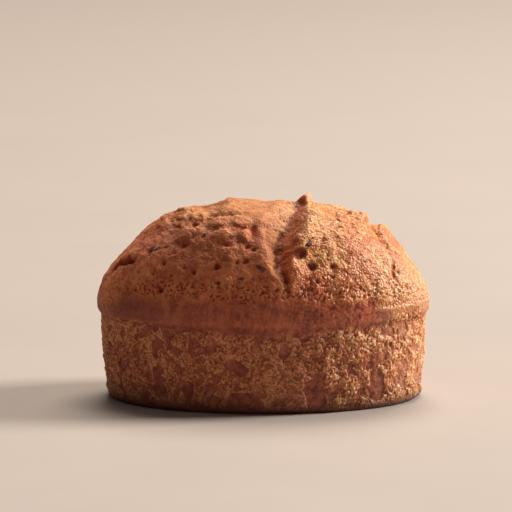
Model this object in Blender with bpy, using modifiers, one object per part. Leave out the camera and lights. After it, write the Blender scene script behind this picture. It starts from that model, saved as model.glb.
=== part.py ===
"""An oval financier: a small almond cake baked in a mini-loaf mould.

The cake is one solid. It is turned as a smooth loaf (dome, lip, wall, flat base), squeezed to an oval,
and then its crust is worked: swellings, the burst along the top, cracks, folds, hollows, steam holes and
the crumb of the wall. Last it is sliced flat at the floor. +X is the cake's length and -Y its front.
"""

import math
import random
from collections import namedtuple

import bmesh
import bpy
import numpy as np
from mathutils import Vector, noise

MM = 0.001

# Driving dimensions.
LENGTH = 78.0 * MM  # over the lip, along X
DEPTH = 49.0 * MM  # over the lip, along Y
CROWN = 46.2 * MM  # height of the smooth dome
LIP = 22.6 * MM  # height of the widest line, where the batter rose over the mould
RIM = 20.2 * MM  # height of the mould's rim, where the wall meets the lip's underside
OVERHANG = 1.0 * MM  # how far the lip stands out from the wall
# The lip's face: how far it draws in and how far it has come down, as shares of its overhang and height.
LIP_FACE = ((0.0, 0.0), (0.05, 0.45), (0.3, 0.8), (0.8, 1.0), (1.15, 1.1))
TAPER = 1.3 * MM  # how far the wall draws in from the rim to the base
BASE_EDGE = 2.4 * MM  # height of the rounded edge at the base
BASE_INSET = 1.9 * MM  # how far that edge draws in to the floor
SINK = 0.8 * MM  # what is modelled under the floor line, and sliced off at the end

# The skin that the crust is worked in, and the triangles that are kept of it.
GRAIN = 0.6 * MM
TRIANGLES = 11200

SEED = 11


def clear_scene():
    for obj in list(bpy.data.objects):
        bpy.data.objects.remove(obj, do_unlink=True)


# ---------------------------------------------------------------- the smooth loaf


def dome_height(x, y):
    """Height of the smooth dome over a point of the plan."""
    away = (x / (LENGTH / 2)) ** 2 + (y / (DEPTH / 2)) ** 2
    return LIP + (CROWN - LIP) * math.sqrt(max(0.0, 1 - away))


def loaf_profile():
    """Half of the loaf's long section, from the crown down its outer side to the base."""
    half, rim = LENGTH / 2, LENGTH / 2 - OVERHANG
    points = []
    dome_steps, wall_steps, edge_steps = 26, 6, 6
    for i in range(dome_steps):
        turn = i / dome_steps * math.pi / 2
        points.append((half * math.sin(turn), LIP + (CROWN - LIP) * math.cos(turn)))
    for out, down in LIP_FACE:
        points.append((half - out * OVERHANG, LIP - down * (LIP - RIM)))
    top = RIM - 0.4 * (LIP - RIM)
    for i in range(wall_steps + 1):
        up = top + (BASE_EDGE - top) * i / wall_steps
        points.append((rim - TAPER * (1 - up / top) ** 2, up))
    foot = points[-1][0]
    for i in range(1, edge_steps + 1):
        turn = i / edge_steps * math.pi / 2
        points.append((foot - BASE_INSET * (1 - math.cos(turn)), BASE_EDGE * (1 - math.sin(turn))))
    points += [(foot - BASE_INSET, -SINK), (0.0, -SINK)]
    return points


def replace_mesh(obj, mesh):
    old = obj.data
    obj.modifiers.clear()
    obj.data = mesh
    bpy.data.meshes.remove(old)


def apply_modifiers(obj):
    """Gives the object the mesh that its modifiers make."""
    bpy.context.view_layer.update()
    graph = bpy.context.evaluated_depsgraph_get()
    replace_mesh(obj, bpy.data.meshes.new_from_object(obj.evaluated_get(graph)))


def turned_loaf():
    """The profile turned with a Screw and squeezed to the oval, in an even skin of small quads."""
    points = [(out, 0.0, up) for out, up in loaf_profile()]
    mesh = bpy.data.meshes.new("loaf")
    mesh.from_pydata(points, [(i, i + 1) for i in range(len(points) - 1)], [])
    loaf = bpy.data.objects.new("loaf", mesh)
    screw = loaf.modifiers.new("turn", "SCREW")
    screw.steps = screw.render_steps = 96
    screw.use_merge_vertices = True
    screw.merge_threshold = 0.01 * MM
    bpy.context.scene.collection.objects.link(loaf)
    apply_modifiers(loaf)
    for vertex in loaf.data.vertices:
        vertex.co.y *= DEPTH / LENGTH
    skin = loaf.modifiers.new("skin", "REMESH")
    skin.mode = "VOXEL"
    skin.voxel_size = GRAIN
    apply_modifiers(loaf)
    return loaf


# ---------------------------------------------------------------- the forms of the crust, in millimetres

# How far the dome's long crest stands over or under a true ellipse: X, height.
CREST = (
    (-38.9, 0.0),
    (-37.0, -0.8),
    (-33.5, -1.0),
    (-30.5, -0.8),
    (-28.0, 0.0),
    (-23.4, 1.0),
    (-18.4, 1.0),
    (-14.0, 0.0),
    (-11.6, 0.0),
    (-8.2, 0.8),
    (-4.0, 0.4),
    (1.0, -0.4),
    (6.0, -0.1),
    (12.0, 0.5),
    (17.0, 0.8),
    (22.6, 1.1),
    (27.0, 0.8),
    (31.0, 0.2),
    (34.0, -1.3),
    (37.0, -1.6),
    (38.9, 0.0),
)

# A form stands on the dome over (x, y), with a radius along X and one across, up the slope.
Form = namedtuple("Form", "x y along across height")

SWELLINGS = (
    # The right lobe, the nub beside the burst, and the flap behind the right crack.
    Form(17.0, -13.0, 12.0, 11.0, 0.7),
    Form(10.0, -0.4, 2.6, 4.4, 0.8),
    Form(10.4, 1.4, 1.9, 2.0, 0.4),
    Form(12.6, -5.0, 3.4, 5.0, 0.7),
    Form(28.8, -0.5, 3.2, 5.4, 0.9),
    Form(33.0, -9.0, 4.0, 5.0, 0.3),
    # The left lobe.
    Form(-12.0, -12.0, 11.0, 10.0, 0.5),
    Form(-8.0, -6.0, 5.4, 3.0, 0.5),
    Form(-22.4, -6.6, 3.4, 3.0, 0.5),
    Form(-17.0, -3.0, 2.4, 3.0, 0.5),
    Form(-30.0, -6.0, 4.0, 5.0, 0.5),
    Form(-33.0, -13.0, 4.0, 4.0, 0.4),
    # The swellings of the back.
    Form(-14.0, 11.0, 9.0, 8.0, 0.7),
    Form(17.0, 12.0, 8.0, 7.0, 0.7),
    Form(4.0, 15.0, 2.6, 4.0, 0.6),
    Form(-6.0, 9.0, 3.0, 3.0, 0.7),
    Form(26.0, 9.0, 3.0, 3.0, 0.5),
)

# Rolls and lumps have steep sides.
ROLLS = (
    # The nub, the crag and the lump on the torn face, and the lump in the right crack.
    Form(9.8, -0.8, 1.9, 2.3, 1.5),
    Form(7.6, -15.4, 1.3, 1.3, 1.0),
    Form(8.0, -21.6, 1.6, 2.2, 0.3),
    Form(25.7, -3.8, 1.2, 1.2, 0.8),
    # The rolls of the left lobe's face.
    Form(-14.9, -7.8, 2.2, 1.9, 0.9),
    Form(-10.6, -11.4, 3.0, 2.1, 0.8),
    Form(-5.6, -12.0, 2.6, 1.9, 0.8),
    Form(-9.5, -15.2, 2.6, 1.5, 0.6),
    Form(-4.2, -15.8, 1.6, 1.8, 0.8),
    Form(-14.6, -12.7, 1.7, 1.9, 0.5),
    Form(-18.4, -12.7, 2.8, 1.9, 0.7),
    # Lumps along the crest.
    Form(22.3, -1.0, 2.4, 3.0, 0.5),
    Form(-22.5, -1.5, 1.8, 2.2, 0.6),
    Form(-19.0, -0.5, 1.5, 1.8, 0.6),
    Form(-25.8, -2.0, 1.2, 1.8, 0.5),
)

HOLLOWS = (
    # Under the rolls of the left lobe.
    Form(-5.0, -14.3, 2.6, 0.9, 0.5),
    Form(-2.5, -14.8, 1.3, 3.0, 0.6),
    Form(-9.2, -17.2, 2.8, 1.0, 0.6),
    Form(-3.7, -18.2, 1.4, 1.0, 0.6),
    Form(-15.0, -10.2, 2.0, 0.9, 0.5),
    Form(-12.5, -9.4, 0.9, 1.5, 0.5),
    Form(-18.2, -14.9, 2.4, 1.0, 0.7),
    Form(-20.6, -15.6, 1.3, 0.9, 0.5),
    Form(-19.9, -9.0, 1.5, 1.3, 0.4),
)

# Open bubbles and steam holes have steep sides too.
BUBBLES = (
    Form(-10.6, -20.2, 0.8, 0.9, 0.9),
    Form(-16.3, -19.6, 0.6, 1.0, 0.7),
    Form(-21.4, -18.2, 0.6, 0.6, 0.6),
    Form(-3.9, -20.6, 0.8, 0.6, 0.6),
    Form(-6.2, -20.7, 0.8, 0.6, 0.5),
    Form(-2.6, -22.5, 0.7, 0.5, 0.6),
    Form(8.3, -19.0, 1.5, 1.5, 1.1),
    Form(11.1, -20.3, 1.0, 1.0, 0.8),
    Form(16.0, -19.1, 0.7, 0.6, 0.6),
    Form(15.3, -20.4, 1.1, 0.6, 0.5),
    Form(13.5, -15.5, 1.1, 0.5, 0.4),
    Form(21.0, 4.6, 1.0, 1.0, 0.7),
    Form(-25.0, 6.0, 1.0, 1.0, 0.7),
    Form(-3.6, 12.4, 1.1, 1.0, 0.8),
    Form(-11.6, 19.4, 0.9, 0.9, 0.8),
    Form(9.6, 19.6, 1.0, 1.0, 0.9),
    Form(27.2, 9.6, 0.9, 0.9, 0.6),
)

# A split in the crust runs along a route of (x, y, depth, reach to its left, reach to its right), with left
# and right as seen along the route. The crust on either side may stand up, and sinks back over a run.
Split = namedtuple("Split", "route lift_left lift_right run")

SPLITS = (
    # The burst, from the front lip up to the crest.
    Split(
        (
            (6.0, -23.5, 0.3, 0.5, 0.5),
            (5.4, -22.9, 1.8, 0.9, 0.7),
            (4.6, -22.2, 2.8, 1.8, 1.4),
            (3.7, -20.6, 3.5, 2.8, 3.0),
            (3.6, -17.8, 3.8, 3.6, 4.9),
            (4.2, -13.8, 3.5, 4.4, 6.0),
            (5.9, -9.5, 2.6, 5.6, 5.2),
            (7.4, -5.4, 1.4, 4.0, 3.0),
            (8.4, -1.6, 0.4, 1.2, 1.0),
        ),
        0.4,
        0.7,
        4.0,
    ),
    # Its other end, down the back.
    Split(
        (
            (4.6, 5.0, 0.3, 0.8, 0.8),
            (3.6, 10.0, 1.8, 2.6, 3.0),
            (1.8, 15.0, 2.4, 2.4, 3.2),
            (0.4, 19.0, 1.8, 1.4, 1.6),
            (-0.2, 22.0, 0.3, 0.6, 0.6),
        ),
        0.5,
        0.3,
        4.0,
    ),
    # The crack in front of the flap.
    Split(
        (
            (30.8, -13.6, 0.4, 0.4, 0.4),
            (30.0, -12.6, 1.1, 0.6, 0.6),
            (29.9, -10.8, 0.4, 0.7, 0.6),
            (28.8, -8.8, 0.5, 1.4, 1.0),
            (27.2, -7.4, 0.8, 1.8, 1.4),
            (25.4, -4.6, 1.2, 1.7, 2.1),
            (25.0, -1.5, 2.2, 1.4, 2.4),
            (25.2, 3.0, 2.2, 1.4, 2.4),
            (24.8, 8.0, 1.0, 1.2, 1.6),
            (23.6, 12.0, 0.3, 0.8, 0.8),
        ),
        0.3,
        0.4,
        3.0,
    ),
    # The slit at the left end, under a shelf of crust.
    Split(
        (
            (-35.6, -4.6, 0.3, 0.5, 0.4),
            (-34.4, -5.6, 0.9, 0.8, 0.5),
            (-33.2, -6.6, 1.3, 0.9, 0.6),
            (-31.6, -8.2, 1.7, 0.9, 0.7),
            (-30.2, -9.8, 1.8, 0.7, 0.7),
            (-29.8, -10.3, 0.6, 0.4, 0.4),
        ),
        0.6,
        0.0,
        3.5,
    ),
    # The fold over the rolls of the left lobe.
    Split(
        (
            (-15.6, -6.2, 0.1, 0.5, 0.5),
            (-13.7, -7.2, 0.2, 0.9, 0.6),
            (-11.4, -8.2, 0.15, 0.8, 0.7),
            (-8.3, -9.6, 0.25, 1.0, 0.7),
            (-5.5, -9.5, 0.2, 0.8, 0.7),
            (-2.8, -9.0, 0.1, 0.5, 0.5),
        ),
        0.4,
        0.0,
        3.0,
    ),
    # Two splits at the back, as the crust opens there too.
    Split(
        (
            (-24.0, 10.5, 0.3, 0.6, 0.6),
            (-20.0, 13.6, 1.1, 1.2, 1.0),
            (-15.0, 15.4, 1.3, 1.3, 1.1),
            (-10.0, 15.8, 0.8, 0.9, 0.8),
            (-6.6, 14.8, 0.2, 0.5, 0.5),
        ),
        0.1,
        0.5,
        3.0,
    ),
    Split(
        (
            (10.6, 15.6, 0.3, 0.6, 0.6),
            (14.6, 16.4, 1.1, 1.1, 0.9),
            (19.0, 15.4, 1.2, 1.2, 1.0),
            (23.4, 13.2, 0.4, 0.7, 0.6),
        ),
        0.4,
        0.1,
        3.0,
    ),
)

# The steam holes: small and many just over the lip, fewer and wider up the dome.
STEAM_HOLES = 70
HOLE_RADIUS = (0.4, 0.65)
HOLE_DEPTH = 1.0  # in radii

# The unevenness of the whole crust, the crumb of the dome and wall, and the streaks that run up the wall
# where the batter stuck to the mould: scale in millimetres, and height.
Noise = namedtuple("Noise", "scale height")
WAVES = (Noise(11.0, 0.4), Noise(4.4, 0.3))
DOME_CRUMB = Noise(2.2, 0.3)
WALL_CRUMB = Noise(1.8, 0.34)
STREAKS = Noise(3.4, 0.45)
STREAK_LENGTH = 3.2  # how much longer than wide
FOOT = 0.5  # how far the right end's foot spreads
# How the edges of forms and splits wander.
WANDER = Noise(2.6, 0.6)


def on_dome(x, y):
    """The point of the smooth dome over (x, y), all in millimetres."""
    point = np.array(((x, y, dome_height(x * MM, y * MM) / MM),))
    point[:, 2] += crest_heights(point)
    return point[0]


def smooth_step(t):
    t = np.clip(t, 0, 1)
    return t * t * (3 - 2 * t)


def mound(t):
    """1 at 0, falling softly to 0 at 1 and beyond."""
    return np.clip(1 - t * t, 0, None) ** 2


def steep(t):
    """Close to 1 up to 0.5, then falling to 0 at 1 more and more steeply."""
    return np.clip(1 - t**3, 0, None) ** 0.7


def form_heights(points, forms, side=mound):
    """The summed heights of some forms at each point, with soft sides or steep ones."""
    heights = np.zeros(len(points))
    for form in forms:
        away = points - on_dome(form.x, form.y)
        reach = np.sqrt((away[:, 0] / form.along) ** 2 + (away[:, 1] ** 2 + away[:, 2] ** 2) / form.across**2)
        heights += form.height * side(reach)
    return heights


def crest_heights(points):
    """The crest's departure from an ellipse, fading from the crest to the lip on either side."""
    x, height = np.array(CREST).T
    half = np.sqrt(np.clip(1 - (points[:, 0] * MM / (LENGTH / 2)) ** 2, 1e-4, None)) * DEPTH / MM / 2
    fade = np.clip(1 - (points[:, 1] / half) ** 2, 0, 1)
    return np.interp(points[:, 0], x, height) * fade


def split_heights(points, split):
    """How far one split lowers and lifts the crust at each point."""
    stations = np.array([on_dome(x, y) for x, y, *_ in split.route])
    sizes = np.array([station[2:] for station in split.route])
    nearest = np.full(len(points), np.inf)
    depth, reach = np.zeros(len(points)), np.ones(len(points))
    left = np.zeros(len(points), bool)
    for start, end, size, next_size in zip(stations, stations[1:], sizes, sizes[1:]):
        along = end - start
        t = np.clip((points - start) @ along / (along @ along), 0, 1)
        away = points - (start + t[:, None] * along)
        distance = np.linalg.norm(away, axis=1)
        closer = distance < nearest
        side = along[0] * away[:, 1] - along[1] * away[:, 0] > 0
        here = size + t[:, None] * (next_size - size)
        nearest = np.where(closer, distance, nearest)
        left = np.where(closer, side, left)
        depth = np.where(closer, here[:, 0], depth)
        reach = np.where(closer, np.where(side, here[:, 1], here[:, 2]), reach)
    t = nearest / reach
    shoulder = np.where(left, 1.5, 1.0)
    groove = -depth * np.clip(1 - t, 0, 1) ** shoulder
    lift = np.where(left, split.lift_left, split.lift_right)
    strength = np.clip(depth / max(sizes[:, 0]), 0, 1)
    fade = mound(np.clip((nearest - reach) / split.run, 0, 1))
    return groove + lift * strength * np.clip(t, 0, 1) * fade


def steam_holes():
    """Seeded places for the steam holes, most of them close above the lip."""
    draw = random.Random(SEED)
    holes = ()
    for _ in range(STEAM_HOLES):
        turn = draw.uniform(0, 2 * math.pi)
        out = 1 - 0.45 * draw.random() ** 2.2
        x = out * math.cos(turn) * (LENGTH / MM / 2 - 0.8)
        y = out * math.sin(turn) * (DEPTH / MM / 2 - 0.8)
        radius = draw.uniform(*HOLE_RADIUS)
        holes += (Form(x, y, radius, radius, radius * HOLE_DEPTH),)
    return holes


def noise_heights(points, kind):
    """Smooth noise about zero, with lumps of this scale and height."""
    shift = Vector((SEED, 2.7 * kind.scale, 5.1 * kind.height))
    return kind.height * np.array([noise.noise(Vector(point) / kind.scale + shift) for point in points])


def wandered(points, kind):
    """The points shifted about by smooth noise, so that what is measured from them gets ragged edges."""
    shift = Vector((SEED, 2.7 * kind.scale, 5.1 * kind.height))
    away = [noise.noise_vector(Vector(point) / kind.scale + shift) for point in points]
    return points + kind.height * np.array(away)


def points_and_normals(mesh):
    """The places of the skin's points, and their normals, always summed in the same order."""
    points = np.array([vertex.co for vertex in mesh.vertices])
    corners = np.array([face.vertices for face in mesh.polygons])  # the skin is all quads
    a, b, c, d = (points[corner] for corner in corners.T)
    across = np.cross(c - a, d - b)
    normals = np.zeros_like(points)
    for corner in corners.T:
        np.add.at(normals, corner, across)
    return points, normals / np.linalg.norm(normals, axis=1)[:, None]


def worked(loaf):
    """Works the crust: moves every point of the skin in or out along its normal."""
    mesh = loaf.data
    points, normals = points_and_normals(mesh)
    points /= MM
    height = points[:, 2].copy()
    rim, lip = RIM / MM, LIP / MM
    dome = smooth_step((height - lip) / 4.0)
    wall = smooth_step((height - 0.2) / 1.5) * smooth_step((rim + 0.2 - height) / 1.2)

    points[:, 2] += dome * crest_heights(points)
    ragged = wandered(points, WANDER)
    heights = dome * (form_heights(ragged, SWELLINGS) + form_heights(ragged, ROLLS, steep))
    for split in SPLITS:
        heights += smooth_step((height - rim) / 3.0) * split_heights(ragged, split)
    heights -= dome * form_heights(ragged, HOLLOWS)
    heights -= dome * form_heights(ragged, BUBBLES + steam_holes(), steep)
    heights += (0.35 + 0.65 * dome) * sum(noise_heights(points, wave) for wave in WAVES)
    heights += dome * noise_heights(points, DOME_CRUMB) + wall * noise_heights(points, WALL_CRUMB)
    low = smooth_step((rim - 3 - height) / 8)
    heights += wall * low * noise_heights(points / (1, 1, STREAK_LENGTH), STREAKS)
    heights += FOOT * smooth_step((4 - height) / 3.5) * smooth_step((points[:, 0] - 22) / 14)
    heights *= smooth_step((height + 0.3) / 2.0)

    moved = (points + normals * heights[:, None]) * MM
    mesh.vertices.foreach_set("co", moved.ravel())
    mesh.update()


def thinned(loaf):
    """Keeps the triangles where the crust bends most."""
    fewer = loaf.modifiers.new("fewer", "DECIMATE")
    fewer.ratio = TRIANGLES / (2 * len(loaf.data.polygons))
    apply_modifiers(loaf)


def sliced_flat(loaf):
    """Cuts off what is under the floor line and closes the base with one flat face."""
    shape = bmesh.new()
    shape.from_mesh(loaf.data)
    everything = shape.verts[:] + shape.edges[:] + shape.faces[:]
    bmesh.ops.bisect_plane(shape, geom=everything, plane_co=(0, 0, 0), plane_no=(0, 0, 1), clear_inner=True)
    bmesh.ops.holes_fill(shape, edges=[edge for edge in shape.edges if edge.is_boundary])
    bmesh.ops.recalc_face_normals(shape, faces=shape.faces)
    shape.to_mesh(loaf.data)
    shape.free()


def centred(loaf):
    """Slides the cake along the floor until its box is centred on the origin."""
    places = np.array([vertex.co for vertex in loaf.data.vertices])
    middle = Vector((places.min(axis=0) + places.max(axis=0)) / 2)
    for vertex in loaf.data.vertices:
        vertex.co.xy -= middle.xy


def baked_material():
    """Butter-browned crust."""
    crust = bpy.data.materials.new("baked_crust")
    crust.use_nodes = True
    surface = crust.node_tree.nodes["Principled BSDF"]
    surface.inputs["Base Color"].default_value = (0.42, 0.17, 0.055, 1.0)
    surface.inputs["Roughness"].default_value = 0.5
    surface.inputs["Metallic"].default_value = 0.0
    return crust


def main():
    noise.seed_set(SEED)
    clear_scene()
    loaf = turned_loaf()
    worked(loaf)
    thinned(loaf)
    sliced_flat(loaf)
    centred(loaf)
    loaf.name = loaf.data.name = "financier"
    loaf.data.materials.append(baked_material())
    loaf.data.shade_smooth()
    cake = bpy.data.collections.new("oval_financier")
    bpy.context.scene.collection.children.link(cake)
    bpy.context.scene.collection.objects.unlink(loaf)
    cake.objects.link(loaf)


main()
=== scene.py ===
"""The finish of an oval financier: its browned crust, torn crumb and flecks of nut skin, on a pale floor."""

import math
import random
from collections import namedtuple

import bmesh
import bpy
import numpy as np
from mathutils import Matrix, Vector, noise
from mathutils.bvhtree import BVHTree
from mathutils.kdtree import KDTree


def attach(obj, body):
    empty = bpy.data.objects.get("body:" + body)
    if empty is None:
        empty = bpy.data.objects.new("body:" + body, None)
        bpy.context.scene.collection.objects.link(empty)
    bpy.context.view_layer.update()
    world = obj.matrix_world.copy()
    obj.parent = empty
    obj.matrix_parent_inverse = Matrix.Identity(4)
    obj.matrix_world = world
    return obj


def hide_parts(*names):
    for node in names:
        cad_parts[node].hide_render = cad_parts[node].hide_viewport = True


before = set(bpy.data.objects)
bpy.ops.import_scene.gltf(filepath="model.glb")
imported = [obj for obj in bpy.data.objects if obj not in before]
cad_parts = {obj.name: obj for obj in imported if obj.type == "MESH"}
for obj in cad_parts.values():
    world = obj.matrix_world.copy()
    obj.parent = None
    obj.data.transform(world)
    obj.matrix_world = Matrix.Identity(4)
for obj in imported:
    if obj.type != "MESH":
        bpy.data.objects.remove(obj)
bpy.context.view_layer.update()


# ---------------------------------------------------------------- the cake
# One piece of almond sponge. A thick batter was spooned into an oval mini-loaf mould and baked until it rose
# over the rim, domed, browned and burst along the top. The wall kept the mould's shape, and tore a little as
# the cake was turned out, so that its crumb shows between smooth patches of skin.

MM = 0.001
SEED = 11

LENGTH = 78.0  # over the lip, in millimetres as all the sizes of the cake
DEPTH = 49.0
CROWN = 46.2
LIP = 22.6
RIM = 20.2
OVERHANG = 1.0
LIP_FACE = ((0.0, 0.0), (0.05, 0.45), (0.3, 0.8), (0.8, 1.0), (1.15, 1.1))  # shares drawn in, shares down
TAPER = 1.3
BASE_EDGE = 2.4
BASE_INSET = 1.9
FOOT = 0.5  # how far the right end's foot spreads
SINK = 0.8  # modelled under the floor line and cut off
FORM_SKIN = 0.35  # the size of the quads that the forms are worked in
SKIN = 0.23  # and of those that the fine crust is worked in
SMOOTHINGS = 2  # rounds that even out the steps of the coarser skin
EVENINGS = (5, 40)  # rounds that show how far a spot lies under its close and its wider surroundings
MOST_TRIANGLES = 195000  # what is kept of them, most where the crust bends most


def dome_height(x, y):
    """Height of the smooth dome over a point of the plan."""
    away = (2 * x / LENGTH) ** 2 + (2 * y / DEPTH) ** 2
    return LIP + (CROWN - LIP) * math.sqrt(max(0.0, 1 - away))


def loaf_section():
    """Half of the loaf's long section, from the crown down its outer side to the base."""
    half, rim = LENGTH / 2, LENGTH / 2 - OVERHANG
    dome_steps, wall_steps, edge_steps = 40, 8, 8
    turns = [step / dome_steps * math.pi / 2 for step in range(dome_steps)]
    points = [(half * math.sin(turn), LIP + (CROWN - LIP) * math.cos(turn)) for turn in turns]
    points += [(half - out * OVERHANG, LIP - down * (LIP - RIM)) for out, down in LIP_FACE]
    top = RIM - 0.4 * (LIP - RIM)
    for step in range(wall_steps + 1):
        up = top + (BASE_EDGE - top) * step / wall_steps
        points.append((rim - TAPER * (1 - up / top) ** 2, up))
    foot = points[-1][0]
    for step in range(1, edge_steps + 1):
        turn = step / edge_steps * math.pi / 2
        points.append((foot - BASE_INSET * (1 - math.cos(turn)), BASE_EDGE * (1 - math.sin(turn))))
    return points + [(foot - BASE_INSET, -SINK), (0.0, -SINK)]


def spun_oval(section):
    """A section spun round the cake's middle and squeezed to the oval."""
    shape = bmesh.new()
    corners = [shape.verts.new((out, 0, up)) for out, up in section]
    for corner, following in zip(corners, corners[1:]):
        shape.edges.new((corner, following))
    line = shape.verts[:] + shape.edges[:]
    bmesh.ops.spin(shape, geom=line, axis=(0, 0, 1), angle=2 * math.pi, steps=128, use_merge=True)
    bmesh.ops.remove_doubles(shape, verts=shape.verts, dist=0.001)
    bmesh.ops.scale(shape, verts=shape.verts, vec=(MM, MM * DEPTH / LENGTH, MM))
    bmesh.ops.recalc_face_normals(shape, faces=shape.faces)
    return shape


def piece_from(shape, name):
    """A new object that holds the finished shape."""
    mesh = bpy.data.meshes.new(name)
    shape.to_mesh(mesh)
    shape.free()
    piece = bpy.data.objects.new(name, mesh)
    bpy.context.scene.collection.objects.link(piece)
    return piece


def even_skin(piece, size):
    """Gives the piece a skin of even quads."""
    skin = piece.modifiers.new("skin", "REMESH")
    skin.mode = "VOXEL"
    skin.voxel_size = size * MM
    bpy.context.view_layer.update()
    skinned = bpy.data.meshes.new_from_object(piece.evaluated_get(bpy.context.evaluated_depsgraph_get()))
    piece.modifiers.clear()
    rough, piece.data = piece.data, skinned
    bpy.data.meshes.remove(rough)
    skinned.name = piece.name


# How far the dome's long crest stands over or under a true ellipse: X, height.
CREST = (
    (-38.9, 0.0),
    (-37.0, -0.8),
    (-33.5, -1.0),
    (-30.5, -0.8),
    (-28.0, 0.0),
    (-23.4, 1.0),
    (-18.4, 1.0),
    (-14.0, 0.0),
    (-11.6, 0.0),
    (-8.2, 0.8),
    (-4.0, 0.4),
    (1.0, -0.4),
    (6.0, -0.1),
    (12.0, 0.5),
    (17.0, 0.8),
    (22.6, 1.1),
    (27.0, 0.8),
    (31.0, 0.2),
    (34.0, -1.3),
    (37.0, -1.6),
    (38.9, 0.0),
)

# A form stands on the dome over (x, y), with a radius along X and one across, up the slope.
Form = namedtuple("Form", "x y along across height")

SWELLINGS = (
    # The right lobe, the nub beside the burst, and the flap behind the right crack.
    Form(17.0, -13.0, 12.0, 11.0, 0.7),
    Form(10.0, -0.4, 2.6, 4.4, 0.8),
    Form(10.4, 1.4, 1.9, 2.0, 0.4),
    Form(12.6, -5.0, 3.4, 5.0, 0.7),
    Form(28.8, -0.5, 3.2, 5.4, 0.9),
    Form(33.0, -9.0, 4.0, 5.0, 0.3),
    # The left lobe.
    Form(-12.0, -12.0, 11.0, 10.0, 0.5),
    Form(-8.0, -6.0, 5.4, 3.0, 0.5),
    Form(-22.4, -6.6, 3.4, 3.0, 0.5),
    Form(-17.0, -3.0, 2.4, 3.0, 0.5),
    Form(-30.0, -6.0, 4.0, 5.0, 0.5),
    Form(-33.0, -13.0, 4.0, 4.0, 0.4),
    # The swellings of the back.
    Form(-14.0, 11.0, 9.0, 8.0, 0.7),
    Form(17.0, 12.0, 8.0, 7.0, 0.7),
    Form(4.0, 15.0, 2.6, 4.0, 0.6),
    Form(-6.0, 9.0, 3.0, 3.0, 0.7),
    Form(26.0, 9.0, 3.0, 3.0, 0.5),
)

# Rolls and lumps have steep sides.
ROLLS = (
    # The nub, the crag and the lump on the torn face, and the lump in the right crack.
    Form(9.8, -0.8, 1.9, 2.3, 1.5),
    Form(7.6, -15.4, 1.3, 1.3, 1.0),
    Form(8.0, -21.6, 1.6, 2.2, 0.3),
    Form(25.7, -3.8, 1.2, 1.2, 0.8),
    # The rolls of the left lobe's face.
    Form(-14.9, -7.8, 2.2, 1.9, 0.9),
    Form(-10.6, -11.4, 3.0, 2.1, 0.8),
    Form(-5.6, -12.0, 2.6, 1.9, 0.8),
    Form(-9.5, -15.2, 2.6, 1.5, 0.6),
    Form(-4.2, -15.8, 1.6, 1.8, 0.8),
    Form(-14.6, -12.7, 1.7, 1.9, 0.5),
    Form(-18.4, -12.7, 2.8, 1.9, 0.7),
    # Lumps along the crest.
    Form(22.3, -1.0, 2.4, 3.0, 0.5),
    Form(-22.5, -1.5, 1.8, 2.2, 0.6),
    Form(-19.0, -0.5, 1.5, 1.8, 0.6),
    Form(-25.8, -2.0, 1.2, 1.8, 0.5),
)

HOLLOWS = (
    # Under the rolls of the left lobe.
    Form(-5.0, -14.3, 2.6, 0.9, 0.5),
    Form(-2.5, -14.8, 1.3, 3.0, 0.6),
    Form(-9.2, -17.2, 2.8, 1.0, 0.6),
    Form(-3.7, -18.2, 1.4, 1.0, 0.6),
    Form(-15.0, -10.2, 2.0, 0.9, 0.5),
    Form(-12.5, -9.4, 0.9, 1.5, 0.5),
    Form(-18.2, -14.9, 2.4, 1.0, 0.7),
    Form(-20.6, -15.6, 1.3, 0.9, 0.5),
    Form(-19.9, -9.0, 1.5, 1.3, 0.4),
)

# Open bubbles and steam holes have steep sides too.
BUBBLES = (
    Form(-10.6, -20.2, 0.8, 0.9, 0.9),
    Form(-16.3, -19.6, 0.6, 1.0, 0.7),
    Form(-21.4, -18.2, 0.6, 0.6, 0.6),
    Form(-3.9, -20.6, 0.8, 0.6, 0.6),
    Form(-6.2, -20.7, 0.8, 0.6, 0.5),
    Form(-2.6, -22.5, 0.7, 0.5, 0.6),
    Form(8.3, -19.0, 1.5, 1.5, 1.1),
    Form(11.1, -20.3, 1.0, 1.0, 0.8),
    Form(16.0, -19.1, 0.7, 0.6, 0.6),
    Form(15.3, -20.4, 1.1, 0.6, 0.5),
    Form(13.5, -15.5, 1.1, 0.5, 0.4),
    Form(21.0, 4.6, 1.0, 1.0, 0.7),
    Form(-25.0, 6.0, 1.0, 1.0, 0.7),
    Form(-3.6, 12.4, 1.1, 1.0, 0.8),
    Form(-11.6, 19.4, 0.9, 0.9, 0.8),
    Form(9.6, 19.6, 1.0, 1.0, 0.9),
    Form(27.2, 9.6, 0.9, 0.9, 0.6),
)

# A split in the crust runs along a route of (x, y, depth, reach to its left, reach to its right), with left
# and right as seen along the route. The crust on either side may stand up, and sinks back over a run.
# What it bares is pale crumb by the given shares; the rest is painted a red-brown shade, as on the burst's
# right face, which faces away from the key lamp.
Split = namedtuple("Split", "route lift_left lift_right run pale_left pale_right")

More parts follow.
